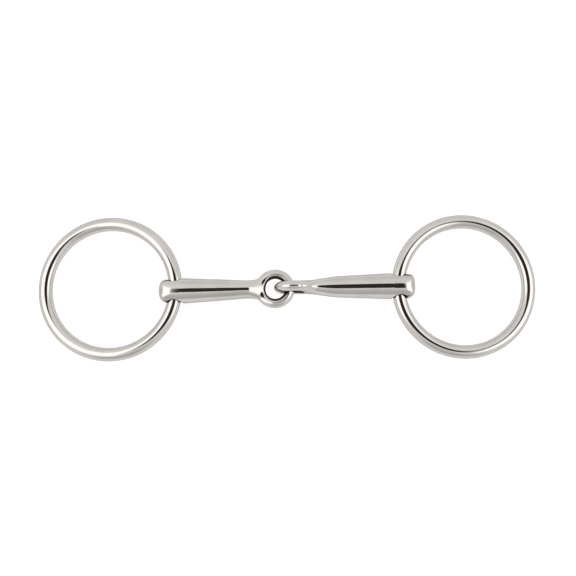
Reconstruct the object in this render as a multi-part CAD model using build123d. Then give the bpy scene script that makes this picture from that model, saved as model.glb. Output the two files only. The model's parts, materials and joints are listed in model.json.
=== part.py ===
from build123d import *
import os
from math import asin, atan2, cos, degrees, sin

# A loose-ring snaffle bit with a single joint, lying flat on a level surface at z = 0.
# +X runs along the mouthpiece from the left ring to the right ring, +Y runs along the bores
# that the rings pass through, and +Z is up.
#
# The mouthpiece is two tapered bars, called cannons. Each cannon has a thick ring end with a
# bore for its ring, and a thin end forged into an eye. The left eye lies flat and the right
# eye stands on edge through it, which makes the joint in the middle of the mouthpiece.
#
# Each ring both swings about its bore and slides round through it, and the two eyes turn on
# each other about both of their holes. Three small stand-ins, which the real bit doesn't have,
# sit in those clearances, so that each of the two motions at a place has a body of its own.

# Rings: round wire bent to a circle and welded shut.
WIRE_DIAMETER = 8.0
RING_INNER_DIAMETER = 70.0
RING_RADIUS = (RING_INNER_DIAMETER + WIRE_DIAMETER) / 2

# Cannons: the distance between the two bores, and from each bore to the centre of its eye.
BORE_SPACING = 133.4
LEFT_LENGTH = 59.8
RIGHT_LENGTH = 63.1

# Ring end of a cannon. Its end wall is an ellipse seen along the bore, and nearly square with
# round corners seen across it.
BUTT_DIAMETER = 15.2
BORE_DIAMETER = 10.0
END_REACH = 9.75
END_HALF_HEIGHT = 8.0
END_HALF_WIDTH = 7.8
END_BULGE = 0.6
END_CORNER_RADIUS = 3.4

# Eye at the joint end of a cannon: an oval section turned round the axis of its hole.
EYE_OUTER_DIAMETER = 23.0
EYE_HOLE_DIAMETER = 11.4
EYE_THICKNESS = 6.2
EYE_SECTION_WIDTH = (EYE_OUTER_DIAMETER - EYE_HOLE_DIAMETER) / 2
EYE_RADIUS = (EYE_OUTER_DIAMETER - EYE_SECTION_WIDTH) / 2

# The bar between the eye and the ring end is round, and pressed flat on two sides next to the
# eye. Each point is a distance from the centre of the eye, and half of the bar's size there.
BAR_RADII = ((8.0, 7.1), (12.4, 5.8), (17.0, 5.5), (30.0, 6.3), (45.0, 7.1))
FLAT_HALVES = ((8.0, 2.5), (12.4, 4.3), (17.0, 5.2), (25.0, 6.4), (35.0, 8.0))

# How the bit lies. A yaw turns a piece to the left seen from above, and a height is that of a
# centre above the surface. The wire's centreline passes inside the bore's axis, towards the
# middle of the bit, so that the curved wire clears the straight bore evenly. The left ring has
# been pushed round until its wire runs a little askew in its bore.
LEFT_BORE_Y = -1.75
RIGHT_BORE_Y = 1.25
BORE_HEIGHT = 7.8
LEFT_EYE_HEIGHT = 10.4
RIGHT_EYE_HEIGHT = EYE_OUTER_DIAMETER / 2
LEFT_CANNON_YAW = 1.0
RIGHT_CANNON_YAW = 1.1
LEFT_RING_YAW = -2.3
RIGHT_RING_YAW = 0.2
WIRE_OFFSET_IN_BORE = 0.55
RING_REACH = RING_RADIUS - WIRE_OFFSET_IN_BORE

# Stand-ins: a thin pin between the outside of the wire and its bore, and a small disc between
# the two eyes.
SLIDE_DIAMETER = 0.6
SLIDE_LENGTH = 3.0
LINK_DIAMETER = 1.0
LINK_THICKNESS = 0.12

# Tool bodies are made longer than what they cut.
MARGIN = 10.0


def ring():
    """A round wire ring about +Z."""
    return Torus(RING_RADIUS, WIRE_DIAMETER / 2)


def bar(length):
    """The round, tapered bar of a cannon, from past the bore at the origin to the eye on +X."""
    crest = [(length - distance, radius) for distance, radius in BAR_RADII]
    crest.append((0, BUTT_DIAMETER / 2))
    taper = Spline(crest)
    butt = Polyline(crest[-1], (-END_REACH, BUTT_DIAMETER / 2), (-END_REACH, 0), (crest[0][0], 0), crest[0])
    return revolve(make_face(taper + butt), Axis.X)


def between_flats(length):
    """What lies between the two pressed sides of a cannon, for an eye that lies flat."""
    upper = [(length - distance, half) for distance, half in FLAT_HALVES]
    lower = [(x, -half) for x, half in upper]
    joint_end = Line(upper[0], lower[0])
    ring_end = Polyline(lower[-1], (-length, -EYE_OUTER_DIAMETER), (-length, EYE_OUTER_DIAMETER), upper[-1])
    outline = make_face(Spline(upper) + joint_end + Spline(lower) + ring_end)
    return extrude(Plane.XZ * outline, EYE_OUTER_DIAMETER, both=True)


def side_envelope(length):
    """What the side view of a cannon lies inside: open, with an elliptical ring end."""
    outline = Ellipse(END_REACH, END_HALF_HEIGHT)
    outline += Pos(length / 2, 0) * Rectangle(length, EYE_OUTER_DIAMETER + MARGIN)
    return extrude(Plane.XZ * outline, EYE_OUTER_DIAMETER, both=True)


def plan_envelope(length):
    """What the plan view of a cannon lies inside: open, with a bulged, round-cornered ring end."""
    corner = END_BULGE - END_REACH
    half = END_HALF_WIDTH
    end = ThreePointArc((corner, half), (-END_REACH, 0), (corner, -half))
    sides = Polyline((corner, -half), (0, -half), (0, half), (corner, half))
    outline = make_face(end + sides)
    outline = fillet(outline.vertices().group_by(Axis.X)[0], END_CORNER_RADIUS)
    outline += Pos(length / 2, 0) * Rectangle(length, EYE_OUTER_DIAMETER + MARGIN)
    return extrude(outline, EYE_OUTER_DIAMETER, both=True)


def eye():
    """An eye with its hole along Z."""
    section = Pos(EYE_RADIUS, 0) * Ellipse(EYE_SECTION_WIDTH / 2, EYE_THICKNESS / 2)
    return revolve(Plane.XZ * section, Axis.Z)


def cannon(length, eye_turn):
    """One half of the mouthpiece: bore along Y at the origin, eye on +X turned about X."""
    pressed = Rot(eye_turn, 0, 0) * between_flats(length)
    body = bar(length) & pressed & side_envelope(length) & plan_envelope(length)
    body += Pos(length, 0, 0) * Rot(eye_turn, 0, 0) * eye()
    return body - Rot(90, 0, 0) * Cylinder(BORE_DIAMETER / 2, BUTT_DIAMETER + MARGIN)


def slide_stand_in():
    """A thin pin along Y, halfway between the outside of the wire and the wall of its bore."""
    wire_outside = WIRE_DIAMETER / 2 - WIRE_OFFSET_IN_BORE
    middle = (wire_outside + BORE_DIAMETER / 2) / 2
    return Pos(-middle, 0, 0) * Rot(90, 0, 0) * Cylinder(SLIDE_DIAMETER / 2, SLIDE_LENGTH)


def rim_point(eye_place, target):
    """The point on an eye's centreline circle that is nearest to another point."""
    local = (eye_place.inverse() * Pos(target)).position
    turn = atan2(local.Y, local.X)
    return (eye_place * Pos(EYE_RADIUS * cos(turn), EYE_RADIUS * sin(turn), 0)).position


def link_stand_in(left_eye_place, right_eye_place):
    """A small disc between the inside of one eye and the inside of the other."""
    left_rim = rim_point(left_eye_place, right_eye_place.position)
    right_rim = rim_point(right_eye_place, left_rim)
    middle = Plane(origin=(left_rim + right_rim) / 2, z_dir=left_rim - right_rim)
    return middle * Cylinder(LINK_DIAMETER / 2, LINK_THICKNESS)


def lean(height, reach):
    """The angle that lifts the far end of a piece of this reach by this height."""
    return degrees(asin(height / reach))


# A cannon is placed by its bore, and leans up towards its eye. A ring is placed by the same
# bore, and leans down to where its outer edge touches the surface.
left_bore = Pos(-BORE_SPACING / 2, LEFT_BORE_Y, BORE_HEIGHT)
right_bore = Pos(BORE_SPACING / 2, RIGHT_BORE_Y, BORE_HEIGHT)
left_cannon_lean = lean(LEFT_EYE_HEIGHT - BORE_HEIGHT, LEFT_LENGTH)
right_cannon_lean = lean(RIGHT_EYE_HEIGHT - BORE_HEIGHT, RIGHT_LENGTH)
ring_lean = lean(BORE_HEIGHT - WIRE_DIAMETER / 2, RING_REACH + RING_RADIUS)

left_cannon_place = left_bore * Rot(0, 0, LEFT_CANNON_YAW) * Rot(0, -left_cannon_lean, 0)
right_cannon_place = right_bore * Rot(0, 0, 180 + RIGHT_CANNON_YAW) * Rot(0, -right_cannon_lean, 0)
left_ring_place = left_bore * Rot(0, 0, 180 + LEFT_RING_YAW) * Rot(0, ring_lean, 0) * Pos(RING_REACH, 0, 0)
right_ring_place = right_bore * Rot(0, 0, RIGHT_RING_YAW) * Rot(0, ring_lean, 0) * Pos(RING_REACH, 0, 0)
left_eye_place = left_cannon_place * Pos(LEFT_LENGTH, 0, 0)
right_eye_place = right_cannon_place * Pos(RIGHT_LENGTH, 0, 0) * Rot(90, 0, 0)

parts = {
    "left_ring": left_ring_place * ring(),
    "right_ring": right_ring_place * ring(),
    "left_cannon": left_cannon_place * cannon(LEFT_LENGTH, 0),
    "right_cannon": right_cannon_place * cannon(RIGHT_LENGTH, 90),
    "left_slide_stand_in": left_cannon_place * slide_stand_in(),
    "right_slide_stand_in": right_cannon_place * slide_stand_in(),
    "link_stand_in": link_stand_in(left_eye_place, right_eye_place),
}

os.makedirs("parts", exist_ok=True)
for name, solid in parts.items():
    export_step(solid, f"parts/{name}.step")
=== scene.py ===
import json
from math import cos, pi, radians, sin, tan

import bpy
import numpy as np
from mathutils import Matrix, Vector


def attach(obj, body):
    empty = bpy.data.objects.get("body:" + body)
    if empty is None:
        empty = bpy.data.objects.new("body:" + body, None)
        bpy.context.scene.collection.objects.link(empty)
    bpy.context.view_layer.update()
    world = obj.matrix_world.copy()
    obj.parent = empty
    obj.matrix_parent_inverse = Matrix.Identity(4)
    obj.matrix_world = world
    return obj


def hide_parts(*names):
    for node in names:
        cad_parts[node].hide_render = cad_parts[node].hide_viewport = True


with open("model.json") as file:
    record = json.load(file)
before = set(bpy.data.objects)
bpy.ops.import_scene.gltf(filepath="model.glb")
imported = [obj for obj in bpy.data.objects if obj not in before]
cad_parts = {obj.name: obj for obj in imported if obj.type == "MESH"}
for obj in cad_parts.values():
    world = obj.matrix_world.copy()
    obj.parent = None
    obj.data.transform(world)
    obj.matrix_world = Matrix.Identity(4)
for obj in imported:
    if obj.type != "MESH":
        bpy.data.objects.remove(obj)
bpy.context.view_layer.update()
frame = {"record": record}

# A polished single-jointed loose-ring snaffle bit. Lengths are metres, in the CAD frame.
MM = 0.001
record = frame["record"]
joints = {j["name"]: j for j in record["behaviour"]["joints"]}


def joint_point(name):
    return np.array(joints[name]["pos_m"], float)


def joint_axis(name):
    axis = np.array(joints[name]["axis"], float)
    return axis / np.linalg.norm(axis)


# ---------------------------------------------------------------- sizes
# Where the CAD model names the same size, these are within 0.3 mm of it. The cannons' surfaces differ
# by more: by up to 1.9 mm at the ring ends' rounded corners, and by about 1 mm at the necks.
WIRE_RADIUS = 4.0 * MM
RING_RADIUS = 39.0 * MM

# Ring end of a cannon: its bore, the half-sizes of its end wall, and how far its edges are rounded.
BORE_RADIUS = 5.0 * MM
BORE_ROUNDING = 0.7 * MM
END_REACH = 9.75 * MM
END_HALF_HEIGHT = 8.2 * MM
END_HALF_WIDTH = 8.1 * MM
END_ROUNDING = 2.0 * MM
END_STRETCH = 4 * MM
END_BLEND = 1.2 * MM
# The end wall's outline seen from above: 2 is an ellipse, and more is squarer.
LEFT_END_SQUARENESS = 2.05
RIGHT_END_SQUARENESS = 2.45

# Eye: a crest of 2 is an oval section, and less is sharper. A flat eye thins towards its neck, and
# a hole widens by its flare for each step from the middle towards its two faces.
EYE_RADIUS = 8.6 * MM
EYE_HALF_WIDTH = 2.9 * MM
EYE_HALF_THICKNESS = 3.0 * MM
EYE_CREST = 1.45
EYE_NECK_THINNING = 1.0 * MM
HOLE_RADIUS = 5.6 * MM
HOLE_FLARE = 0.2
HOLE_ROUNDING = 0.8 * MM

# The bar stops inside the eye, this far from the eye's centre, and its neck runs into the eye.
BAR_END = 5.5 * MM
BAR_END_BLEND = 1.5 * MM
FLAT_NECK_BLEND = 1.1 * MM
UPRIGHT_NECK_BLEND = 2.4 * MM

# A cannon's mesh comes from a grid of this step, which reaches past its two ends and its sides.
SKIN_STEP = 0.5 * MM
PAST_RING_END = 12 * MM
PAST_EYE = 13 * MM

# Polishing lines run along the cannons and round the rings. Lengths along the grain count for this
# much of lengths across it.
GRAIN_STRETCH = 1 / 25


# ---------------------------------------------------------------- smooth skins from distance fields
def smooth_min(a, b, blend):
    """The nearer of two surfaces, with the valley between them filled over the blend distance."""
    share = np.clip(0.5 + 0.5 * (b - a) / blend, 0, 1)
    return b + (a - b) * share - blend * share * (1 - share)


def smooth_max(a, b, blend):
    return -smooth_min(-a, -b, blend)


def curve_through(points, at):
    """A smooth curve through (place, size) points: a cubic with the points' own slopes."""
    places, sizes = (np.array(column, float) for column in zip(*points))
    slopes = np.gradient(sizes, places)
    at = np.clip(at, places[0], places[-1])
    i = np.clip(np.searchsorted(places, at, side="right") - 1, 0, len(places) - 2)
    span = places[i + 1] - places[i]
    t = (at - places[i]) / span
    rise = (1 + 2 * t) * (1 - t) ** 2 * sizes[i] + t * t * (3 - 2 * t) * sizes[i + 1]
    lean = t * (1 - t) ** 2 * slopes[i] - t * t * (1 - t) * slopes[i + 1]
    return rise + span * lean


CORNERS = [(x, y, z) for x in (0, 1) for y in (0, 1) for z in (0, 1)]
EDGES = [(a, b) for a in CORNERS for b in CORNERS if a < b and sum(abs(p - q) for p, q in zip(a, b)) == 1]


def net_faces(inside, number, axis):
    """Quads round each grid edge along an axis that crosses the surface."""
    others = [k for k in range(3) if k != axis]
    start = [slice(1, -1)] * 3
    end = [slice(1, -1)] * 3
    start[axis] = slice(0, -1)
    end[axis] = slice(1, None)
    a, b = inside[tuple(start)], inside[tuple(end)]
    quads = []
    for leaving in (True, False):
        cells = np.argwhere((a & ~b) if leaving else (~a & b))
        cells += [0 if k == axis else 1 for k in range(3)]
        ring = []
        for step in ((0, 0), (1, 0), (1, 1), (0, 1)):
            corner = cells.copy()
            corner[:, others[0]] -= step[0]
            corner[:, others[1]] -= step[1]
            ring.append(number[tuple(corner.T)])
        quad = np.stack(ring, axis=1)
        if leaving == (axis == 1):
            quad = quad[:, ::-1]
        quads.append(quad)
    return np.concatenate(quads)


def surface_net(field, low, high, step):
    """Vertices and quads of the surface where field is 0, from a regular grid."""
    axes = [np.arange(lo, hi + step, step) for lo, hi in zip(low, high)]
    grid = np.stack(np.meshgrid(*axes, indexing="ij"), axis=-1)
    value = field(grid.reshape(-1, 3)).reshape(grid.shape[:3])
    inside = value < 0
    size = [n - 1 for n in inside.shape]

    def corner(array, c):
        return array[c[0] : c[0] + size[0], c[1] : c[1] + size[1], c[2] : c[2] + size[2]]

    total = np.zeros(size + [3])
    count = np.zeros(size)
    for a, b in EDGES:
        va, vb = corner(value, a), corner(value, b)
        crossing = (va < 0) != (vb < 0)
        share = np.where(crossing, va / np.where(crossing, va - vb, 1), 0)[..., None]
        point = corner(grid, a) * (1 - share) + corner(grid, b) * share
        total += np.where(crossing[..., None], point, 0)
        count += crossing
    active = count > 0
    number = -np.ones(size, int)
    number[active] = np.arange(active.sum())
    points = total[active] / count[active][:, None]
    faces = np.concatenate([net_faces(inside, number, axis) for axis in range(3)])
    return points, faces


def gradient(field, points, step=2e-6):
    parts = []
    for k in range(3):
        shift = np.zeros(3)
        shift[k] = step
        parts.append((field(points + shift) - field(points - shift)) / (2 * step))
    return np.stack(parts, axis=1)


def settle(field, points, rounds=4):
    """Moves points onto the surface along its normals."""
    for _ in range(rounds):
        slope = gradient(field, points)
        points = points - slope * (field(points) / (slope * slope).sum(1))[:, None]
    return points


def relax(points, faces, field, rounds=6):
    """Evens out the quads by moving each vertex toward its neighbours, then back onto the surface."""
    pairs = np.concatenate([faces[:, (k, (k + 1) % 4)] for k in range(4)])
    for _ in range(rounds):
        total = np.zeros_like(points)
        count = np.zeros(len(points))
        np.add.at(total, pairs[:, 0], points[pairs[:, 1]])
        np.add.at(total, pairs[:, 1], points[pairs[:, 0]])
        np.add.at(count, pairs[:, 0], 1)
        np.add.at(count, pairs[:, 1], 1)
        points = settle(field, (points + total / count[:, None]) / 2, rounds=1)
    return settle(field, points)


def paint(mesh, name, values):
    """Keeps one number or one vector per vertex for the material to read."""
    values = np.asarray(values, float)
    kind, key = ("FLOAT", "value") if values.ndim == 1 else ("FLOAT_VECTOR", "vector")
    mesh.attributes.new(name, kind, "POINT").data.foreach_set(key, values.ravel())


def ease(value, low, high):
    """0 below low and 1 above high, with a smooth step between them."""
    t = np.clip((value - low) / (high - low), 0, 1)
    return t * t * (3 - 2 * t)


def skin(name, field, low, high, step, to_world, residue):
    """A smooth closed mesh of a distance field, made in a piece's own axes and put in the CAD frame."""
    points, faces = surface_net(field, low, high, step)
    points = relax(settle(field, points), faces, field)
    normals = gradient(field, points)
    normals /= np.linalg.norm(normals, axis=1)[:, None]
    origin, turn = to_world
    mesh = bpy.data.meshes.new(name)
    mesh.from_pydata((points @ turn + origin).tolist(), [], faces.tolist())
    mesh.update()
    mesh.shade_smooth()
    mesh.normals_split_custom_set_from_vertices((normals @ turn).tolist())
    paint(mesh, "grain", points * (GRAIN_STRETCH, 1, 1))
    # Painted shade: how dark each vertex on the walls of the hole and the bore is painted.
    paint(mesh, "residue", residue(points, normals))
    piece = bpy.data.objects.new(name, mesh)
    bpy.context.scene.collection.objects.link(piece)
    return piece


# ---------------------------------------------------------------- cannons
# Half-widths in the plane of the eye and across it, against the distance from the eye's centre, for
# the left cannon, whose eye lies flat, and for the right cannon, whose eye stands upright.
FLAT_WIDTHS = [(p * MM, r * MM) for p, r in (
    (5.0, 7.6), (8.6, 6.6), (12.2, 5.7), (15.7, 5.42), (19.3, 5.5), (23.0, 5.75), (30.0, 6.2), (44.0, 6.95),
    (56.0, 7.55), (63.0, 7.6), (80.0, 7.6))]
FLAT_THICKNESSES = [(p * MM, r * MM) for p, r in (
    (5.0, 1.0), (7.0, 2.05), (8.6, 2.8), (10.0, 3.5), (12.0, 4.45), (14.0, 5.4), (15.5, 5.95), (17.0, 6.2),
    (19.0, 6.25), (23.0, 6.3), (30.0, 6.6), (44.0, 7.1), (56.0, 7.6), (63.0, 7.65), (80.0, 7.65))]
UPRIGHT_WIDTHS = [(p * MM, r * MM) for p, r in (
    (5.0, 7.8), (8.6, 7.2), (12.2, 6.4), (15.7, 5.9), (19.3, 5.7), (23.0, 5.8), (30.0, 6.2), (44.0, 6.95),
    (56.0, 7.55), (63.0, 7.6), (80.0, 7.6))]
UPRIGHT_THICKNESSES = [(p * MM, r * MM) for p, r in (
    (5.0, 2.8), (8.6, 3.75), (12.2, 4.4), (15.7, 4.95), (19.3, 5.45), (23.0, 6.0), (30.0, 6.5), (44.0, 7.1),
    (56.0, 7.6), (63.0, 7.65), (80.0, 7.65))]


# A distance deep inside the steel, where an outline cuts nothing off.
FAR_INSIDE = -1


def cannon_field(length, lies_flat, end_squareness):
    """The distance field of a cannon: bore along y at the origin, centre of the eye on +x."""
    if lies_flat:
        widths, thicknesses, neck_blend = FLAT_WIDTHS, FLAT_THICKNESSES, FLAT_NECK_BLEND
    else:
        widths, thicknesses, neck_blend = UPRIGHT_WIDTHS, UPRIGHT_THICKNESSES, UPRIGHT_NECK_BLEND

    def field(p):
        x, y, z = p.T
        u, w = (y, z) if lies_flat else (z, y)
        from_eye = length - x
        half_width = curve_through(widths, from_eye)
        half_thickness = curve_through(thicknesses, from_eye)
        round_off = np.sqrt((u / half_width) ** 2 + (w / half_thickness) ** 2)
        bar = (round_off - 1) * np.minimum(half_width, half_thickness)
        bar = smooth_max(bar, BAR_END - from_eye, BAR_END_BLEND)
        # Ring end: an ellipse seen along the bore, and a squarer outline seen across it.
        out = np.minimum(x, 0) / END_REACH
        side = (np.sqrt(out ** 2 + (z / END_HALF_HEIGHT) ** 2) - 1) * END_HALF_HEIGHT
        plan = np.abs(out) ** end_squareness + np.abs(y / END_HALF_WIDTH) ** end_squareness
        plan = (plan ** (1 / end_squareness) - 1) * END_HALF_WIDTH
        end = np.where(x < 0, smooth_max(side, plan, END_ROUNDING), np.maximum(side, plan))
        bar = smooth_max(bar, np.where(x < END_STRETCH, end, FAR_INSIDE), END_BLEND)
        # Eye.
        ex, eu = x - length, u
        across = np.sqrt(ex * ex + eu * eu) - EYE_RADIUS
        thinned = (EYE_NECK_THINNING if lies_flat else 0) * ease(-ex, 0, EYE_RADIUS)
        section = np.abs(across / EYE_HALF_WIDTH) ** EYE_CREST + (w / (EYE_HALF_THICKNESS - thinned)) ** 2
        eye = (np.sqrt(section) - 1) * EYE_HALF_WIDTH
        body = smooth_min(bar, eye, neck_blend)
        hole = HOLE_RADIUS + HOLE_FLARE * np.abs(w) - np.sqrt(ex * ex + eu * eu)
        body = smooth_max(body, hole, HOLE_ROUNDING)
        bore = BORE_RADIUS - np.sqrt(x * x + z * z)
        return smooth_max(body, bore, BORE_ROUNDING)

    return field


# Painted shade darkens the walls that face the axis of the hole or of the bore, where shade falls in these
# recesses. Each pair is the cosine of that angle where the painted shade begins, and where it is full.
HOLE_SHADE = (0.3, 0.62)
BORE_SHADE = (0.3, 0.8)
# In the hole it fades out over this distance up to the crest. In the bore it goes this deep.
CREST_FADE = 1.2 * MM
BORE_WALL_DEPTH = 1 * MM
# The fainter painted shade, where the other eye shades the hole: its cosines, its share of full painted
# shade, and where along the cannon it begins and is full, from the centre of the eye.
FAINT_SHADE = (0.1, 0.3)
FAINT_SHADE_SHARE = 0.5
FAINT_SHADE_START = -1 * MM
FAINT_SHADE_FULL = 3 * MM
# Keeps a point that lies on an axis from dividing by nothing.
TINY = 1e-9


def cannon_painted_shade(length, lies_flat):
    """How much painted shade darkens the walls of the bore and of the eye's hole, where shade falls.

    A fainter painted shade, which reaches further up the wall, lies on the side of the hole away from the
    bar."""

    def amount(p, n):
        x, y, z = p.T
        u, nu = (y, n[:, 1]) if lies_flat else (z, n[:, 2])
        ex = x - length
        off_hole = np.sqrt(ex * ex + u * u) + TINY
        hole = -(n[:, 0] * ex + nu * u) / off_hole * ease(EYE_RADIUS - off_hole, 0, CREST_FADE)
        off_bore = np.sqrt(x * x + z * z) + TINY
        bore = -(n[:, 0] * x + n[:, 2] * z) / off_bore * (off_bore < BORE_RADIUS + BORE_WALL_DEPTH)
        faint_shade = FAINT_SHADE_SHARE * ease(hole, *FAINT_SHADE) * ease(ex, FAINT_SHADE_START, FAINT_SHADE_FULL)
        in_hole = np.maximum(ease(hole, *HOLE_SHADE), faint_shade)
        return np.maximum(in_hole, ease(bore, *BORE_SHADE))

    return amount


def cannon(name, bore_joint, eye_joint, lies_flat, end_squareness):
    """One half of the mouthpiece, between the joint at its bore and the joint at its eye."""
    bore, eye = joint_point(bore_joint), joint_point(eye_joint)
    bore_axis = joint_axis(bore_joint)
    length = float(np.linalg.norm(eye - bore))
    along = (eye - bore) / length
    y_axis = bore_axis - along * (bore_axis @ along)
    y_axis /= np.linalg.norm(y_axis)
    turn = np.stack([along, y_axis, np.cross(along, y_axis)])
    low = (-PAST_RING_END, -PAST_EYE, -PAST_EYE)
    high = (length + PAST_EYE, PAST_EYE, PAST_EYE)
    field = cannon_field(length, lies_flat, end_squareness)
    # Painted shade for the walls of the hole and the bore.
    residue = cannon_painted_shade(length, lies_flat)
    return skin(name, field, low, high, SKIN_STEP, (bore, turn), residue)


left_cannon = cannon("left_cannon_polished", "left_ring_swing", "mouthpiece_fold_flat",
                     True, LEFT_END_SQUARENESS)
right_cannon = cannon("right_cannon_polished", "right_ring_swing", "mouthpiece_fold_upright",
                      False, RIGHT_END_SQUARENESS)


# ---------------------------------------------------------------- rings
# Divisions of a ring round its circle and round its wire.
RING_STEPS = 360
WIRE_STEPS = 64


def ring(name, joint):
    """A round wire ring about the axis that it slides round on."""
    centre, axis = joint_point(joint), joint_axis(joint)
    first = np.cross(axis, (0, 1, 0))
    first /= np.linalg.norm(first)
    second = np.cross(axis, first)
    t = np.linspace(0, 2 * pi, RING_STEPS, endpoint=False)[:, None]
    a = np.linspace(0, 2 * pi, WIRE_STEPS, endpoint=False)[None, :]
    reach = RING_RADIUS + WIRE_RADIUS * np.cos(a) + 0 * t
    height = WIRE_RADIUS * np.sin(a) + 0 * t
    radial = np.cos(t)[..., None] * first + np.sin(t)[..., None] * second
    points = centre + reach[..., None] * radial + height[..., None] * axis
    number = np.arange(RING_STEPS * WIRE_STEPS).reshape(RING_STEPS, WIRE_STEPS)
    ahead = np.roll(number, -1, axis=0)
    quads = np.stack([number, ahead, np.roll(ahead, -1, axis=1), np.roll(number, -1, axis=1)], axis=-1)
    mesh = bpy.data.meshes.new(name)
    mesh.from_pydata(points.reshape(-1, 3).tolist(), [], quads.reshape(-1, 4).tolist())
    mesh.update()
    mesh.shade_smooth()
    grain = np.stack([RING_RADIUS * t * GRAIN_STRETCH + 0 * a, reach, height], axis=-1)
    paint(mesh, "grain", grain.reshape(-1, 3))
    # The rings carry no painted shade.
    paint(mesh, "residue", np.zeros(RING_STEPS * WIRE_STEPS))
    piece = bpy.data.objects.new(name, mesh)
    bpy.context.scene.collection.objects.link(piece)
    return piece


left_ring = ring("left_ring_polished", "left_ring_slide_round")
right_ring = ring("right_ring_polished", "right_ring_slide_round")


# ---------------------------------------------------------------- material
# Noise scales are per metre. Each range is the part of the noise over which an effect sets in.
TINT_SCALE = 70
TINT_RANGE = (0.35, 0.65)
# Haze and scratches add up to this much to the roughness.
HAZE_SCALE = 260
HAZE_RANGE = (0.40, 0.75)
HAZE_ROUGHNESS = 0.045
SCRATCH_SCALE = 5200
SCRATCH_RANGE = (0.66, 0.74)
SCRATCH_ROUGHNESS = 0.10
# Polishing lines and a slight waviness, which are bumps of these depths in metres.
LINE_SCALE = 2600
LINE_DEPTH = 0.9e-6
WAVE_SCALE = 110
WAVE_DEPTH = 9e-6
# Roughness of steel outside the painted shade, and the roughness and dark brown colour that full painted
# shade has instead.
RING_POLISH = 0.06
MOUTHPIECE_POLISH = 0.07
PAINTED_SHADE_ROUGHNESS = 0.34
PAINTED_SHADE_COLOUR = (0.035, 0.028, 0.022)
EDGE_TINT = (0.62, 0.62, 0.62)


def smooth_range(tree, value, low, high, new_low, new_high):
    """A node that takes low to high onto new_low to new_high, in a smooth step."""
    node = tree.nodes.new("ShaderNodeMapRange")
    node.interpolation_type = "SMOOTHSTEP"
    for key, number in (("From Min", low), ("From Max", high), ("To Min", new_low), ("To Max", new_high)):
        node.inputs[key].default_value = number
    tree.links.new(value, node.inputs["Value"])
    return node.outputs["Result"]


def add(tree, first, second):
    """A node that adds two values."""
    node = tree.nodes.new("ShaderNodeMath")
    node.operation = "ADD"
    tree.links.new(first, node.inputs[0])
    tree.links.new(second, node.inputs[1])
    return node.outputs["Value"]


def polished_steel(name, bright, dull, polish):
    """Mirror-polished steel with slight tint, haze, polishing lines, fine scratches and painted shade on the
    walls of holes and bores.
    """
    material = bpy.data.materials.new(name)
    material.use_nodes = True
    tree = material.node_tree
    nodes, links = tree.nodes, tree.links
    shader = nodes["Principled BSDF"]
    place = nodes.new("ShaderNodeTexCoord").outputs["Object"]

    def attribute(label, output):
        node = nodes.new("ShaderNodeAttribute")
        node.attribute_name = label
        return node.outputs[output]

    def noise(at, scale, detail=2):
        node = nodes.new("ShaderNodeTexNoise")
        node.inputs["Scale"].default_value = scale
        node.inputs["Detail"].default_value = detail
        links.new(at, node.inputs["Vector"])
        return node.outputs["Fac"]

    def mix(factor, first, second):
        node = nodes.new("ShaderNodeMix")
        node.data_type = "RGBA"
        links.new(factor, node.inputs["Factor"])
        for key, colour in (("A", first), ("B", second)):
            socket = next(i for i in node.inputs if i.name == key and i.type == "RGBA")
            if isinstance(colour, tuple):
                socket.default_value = (*colour, 1)
            else:
                links.new(colour, socket)
        return next(o for o in node.outputs if o.type == "RGBA")

    def bump(height, distance, below=None):
        node = nodes.new("ShaderNodeBump")
        node.inputs["Distance"].default_value = distance
        links.new(height, node.inputs["Height"])
        if below:
            links.new(below, node.inputs["Normal"])
        return node.outputs["Normal"]

    grain = attribute("grain", "Vector")
    residue = attribute("residue", "Fac")
    tint = smooth_range(tree, noise(place, TINT_SCALE), *TINT_RANGE, 0, 1)
    unshaded = mix(tint, bright, dull)
    # Painted shade: the walls of the hole and the bore are darkened towards dark brown.
    links.new(mix(residue, unshaded, PAINTED_SHADE_COLOUR), shader.inputs["Base Color"])

    haze = smooth_range(tree, noise(place, HAZE_SCALE, detail=4), *HAZE_RANGE, 0, HAZE_ROUGHNESS)
    scratch = smooth_range(tree, noise(grain, SCRATCH_SCALE, detail=3), *SCRATCH_RANGE, 0, SCRATCH_ROUGHNESS)
    base = smooth_range(tree, residue, 0, 1, polish, PAINTED_SHADE_ROUGHNESS)
    links.new(add(tree, add(tree, haze, scratch), base), shader.inputs["Roughness"])

    lines = bump(noise(grain, LINE_SCALE, detail=3), LINE_DEPTH)
    waves = bump(noise(place, WAVE_SCALE, detail=1), WAVE_DEPTH, below=lines)
    links.new(waves, shader.inputs["Normal"])

    shader.inputs["Metallic"].default_value = 1.0
    shader.inputs["Specular Tint"].default_value = (*EDGE_TINT, 1)
    return material


ring_steel = polished_steel("ring_steel", bright=(0.54, 0.52, 0.499), dull=(0.505, 0.483, 0.463),
                            polish=RING_POLISH)
mouthpiece_steel = polished_steel("mouthpiece_steel", bright=(0.535, 0.518, 0.497),
                                  dull=(0.495, 0.476, 0.453), polish=MOUTHPIECE_POLISH)

for piece, body, slot, material, nodes in (
    (left_cannon, "left_cannon", "mouthpiece_steel", mouthpiece_steel, ("left_cannon", "link_stand_in")),
    (right_cannon, "right_cannon", "mouthpiece_steel", mouthpiece_steel, ("right_cannon",)),
    (left_ring, "left_ring", "ring_steel", ring_steel, ("left_ring", "left_slide_stand_in")),
    (right_ring, "right_ring", "ring_steel", ring_steel, ("right_ring", "right_slide_stand_in")),
):
    piece.data.materials.append(material)
    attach(piece, body)
    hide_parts(*nodes)


# ---------------------------------------------------------------- floor, light and camera
# The floor lies just under the bit. It glows a little, so that it looks white all over.
FLOOR_HALF = 3.0
FLOOR_DROP = 0.5 * MM
FLOOR_GREY = 0.32
FLOOR_ROUGHNESS = 0.9
FLOOR_GLOW = 0.8


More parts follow.
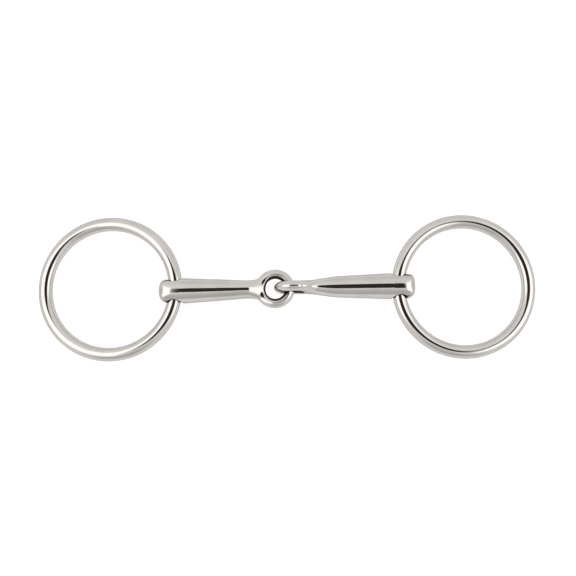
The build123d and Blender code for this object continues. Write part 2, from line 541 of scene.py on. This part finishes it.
def floor():
    mesh = bpy.data.meshes.new("floor")
    corners = [(x * FLOOR_HALF, y * FLOOR_HALF, 0) for x, y in ((-1, -1), (1, -1), (1, 1), (-1, 1))]
    mesh.from_pydata(corners, [], [(0, 1, 2, 3)])
    piece = bpy.data.objects.new("floor", mesh)
    bpy.context.scene.collection.objects.link(piece)
    material = bpy.data.materials.new("floor")
    material.use_nodes = True
    shader = material.node_tree.nodes["Principled BSDF"]
    shader.inputs["Base Color"].default_value = (FLOOR_GREY, FLOOR_GREY, FLOOR_GREY, 1)
    shader.inputs["Roughness"].default_value = FLOOR_ROUGHNESS
    shader.inputs["Specular IOR Level"].default_value = 0.0
    shader.inputs["Emission Color"].default_value = (1, 1, 1, 1)
    shader.inputs["Emission Strength"].default_value = FLOOR_GLOW
    mesh.materials.append(material)
    piece.location.z = -FLOOR_DROP


floor()


# The studio's light grows from the horizon towards overhead, and is full where the cosine of the
# angle from overhead is this or more.
HORIZON_LIGHT = 1.0
OVERHEAD_LIGHT = 1.18
OVERHEAD_FROM = 0.9

# It is dimmer in front of the bit: how far that zone's middle is from overhead, how far the zone
# reaches in full, where it ends, and what it adds.
FRONT_TILT = radians(58)
FRONT_FULL = radians(12)
FRONT_END = radians(38)
FRONT_LIGHT = -0.36


def studio():
    """A white studio, a little brighter overhead and dimmer in front, by direction only."""
    world = bpy.data.worlds.new("studio")
    bpy.context.scene.world = world
    world.use_nodes = True
    tree = world.node_tree
    nodes, links = tree.nodes, tree.links
    nodes.clear()
    out = nodes.new("ShaderNodeOutputWorld")
    background = nodes.new("ShaderNodeBackground")
    background.inputs["Color"].default_value = (1, 1, 1, 1)
    towards = nodes.new("ShaderNodeTexCoord").outputs["Generated"]

    def facing(direction):
        node = nodes.new("ShaderNodeVectorMath")
        node.operation = "DOT_PRODUCT"
        node.inputs[1].default_value = direction
        links.new(towards, node.inputs[0])
        return node.outputs["Value"]

    light = smooth_range(tree, facing((0, 0, 1)), 0, OVERHEAD_FROM, HORIZON_LIGHT, OVERHEAD_LIGHT)
    front = facing((0, -sin(FRONT_TILT), cos(FRONT_TILT)))
    dimmer = smooth_range(tree, front, cos(FRONT_END), cos(FRONT_FULL), 0, FRONT_LIGHT)
    links.new(add(tree, light, dimmer), background.inputs["Strength"])
    links.new(background.outputs["Background"], out.inputs["Surface"])


studio()


# Divisions of a panel along each side, which carry its fade.
PANEL_STEPS = 24


def panel(name, corner, along, across, glow, fade):
    """A studio panel that lights the scene and shows in reflections, but is hidden from the camera.

    It turns clear where it fades."""
    side = np.linspace(0, 1, PANEL_STEPS + 1)
    u, v = (k.ravel()[:, None] for k in np.meshgrid(side, side, indexing="ij"))
    points = np.array(corner) + u * np.array(along) + v * np.array(across)
    number = np.arange((PANEL_STEPS + 1) ** 2).reshape(PANEL_STEPS + 1, -1)
    quads = np.stack([number[:-1, :-1], number[1:, :-1], number[1:, 1:], number[:-1, 1:]], axis=-1)
    mesh = bpy.data.meshes.new(name)
    mesh.from_pydata(points.tolist(), [], quads.reshape(-1, 4).tolist())
    paint(mesh, "fade", fade(u, v).ravel())
    piece = bpy.data.objects.new(name, mesh)
    piece.visible_camera = False
    bpy.context.scene.collection.objects.link(piece)
    material = bpy.data.materials.new(name)
    material.use_nodes = True
    nodes, links = material.node_tree.nodes, material.node_tree.links
    nodes.clear()
    cover = nodes.new("ShaderNodeAttribute")
    cover.attribute_name = "fade"
    light = nodes.new("ShaderNodeEmission")
    see_through = nodes.new("ShaderNodeBsdfTransparent")
    blend = nodes.new("ShaderNodeMixShader")
    out = nodes.new("ShaderNodeOutputMaterial")
    light.inputs["Color"].default_value = (*glow, 1)
    links.new(cover.outputs["Fac"], blend.inputs["Fac"])
    links.new(see_through.outputs["BSDF"], blend.inputs[1])
    links.new(light.outputs["Emission"], blend.inputs[2])
    links.new(blend.outputs["Shader"], out.inputs["Surface"])
    mesh.materials.append(material)


# Two soft boxes lean in over the rings. The dark streaks along the steel are the reflection of
# the dark card that fills the gap between them. A glow is the light's red, green and blue.
GAP_LEFT, GAP_RIGHT, GAP_BACK, GAP_FRONT = -0.22, 0.31, 0.19, -0.22
BOX_TOP, BOX_BOTTOM, BOX_REACH, BOX_BACK, BOX_FRONT = 0.50, 0.22, 0.52, 0.30, -0.44
BOX_GLOW = (2.05, 2.05, 2.05)
CARD_GLOW = (0.048, 0.037, 0.029)
CARD_HEIGHT = 0.53


# How wide the soft edges are, as shares of a panel's side, and where the card's edge begins.
BOX_OUTER_EDGE = 0.35
BOX_FRONT_EDGE = 0.35
BOX_BACK_EDGE = 0.28
CARD_EDGE_FROM = 0.8
CARD_SQUARENESS = 4


def box_fade(u, v):
    """Full at the inner edge, which is u = 0, and soft at the three other edges."""
    return ease(1 - u, 0, BOX_OUTER_EDGE) * ease(v, 0, BOX_FRONT_EDGE) * ease(1 - v, 0, BOX_BACK_EDGE)


def card_fade(u, v):
    """A rounded rectangle with a soft edge."""
    off = ((2 * u - 1) ** CARD_SQUARENESS + (2 * v - 1) ** CARD_SQUARENESS) ** (1 / CARD_SQUARENESS)
    return 1 - ease(off, CARD_EDGE_FROM, 1.0)


panel("gap_card", (GAP_LEFT, GAP_FRONT, CARD_HEIGHT), (GAP_RIGHT - GAP_LEFT, 0, 0),
      (0, GAP_BACK - GAP_FRONT, 0), CARD_GLOW, card_fade)
for side, inner, way in (("left", GAP_LEFT, -1), ("right", GAP_RIGHT, 1)):
    panel(side + "_soft_box", (inner, BOX_FRONT, BOX_TOP), (way * BOX_REACH, 0, BOX_BOTTOM - BOX_TOP),
          (0, BOX_BACK - BOX_FRONT, 0), BOX_GLOW, box_fade)


# The camera looks almost straight down at the middle of the bit.
DISTANCE = 0.501
ELEVATION = radians(83)
TARGET = Vector((0.0006, 0.0001, 0.008))
SENSOR_WIDTH = 36.0
FIELD_OF_VIEW = radians(37.6)
camera_data = bpy.data.cameras.new("camera")
camera = bpy.data.objects.new("camera", camera_data)
bpy.context.scene.collection.objects.link(camera)
camera.location = TARGET + Vector((0, -cos(ELEVATION), sin(ELEVATION))) * DISTANCE
camera.rotation_euler = (TARGET - camera.location).to_track_quat("-Z", "Y").to_euler()
camera_data.sensor_width = SENSOR_WIDTH
camera_data.lens = SENSOR_WIDTH / 2 / tan(FIELD_OF_VIEW / 2)
bpy.context.scene.camera = camera
bpy.context.scene.view_settings.view_transform = "Standard"
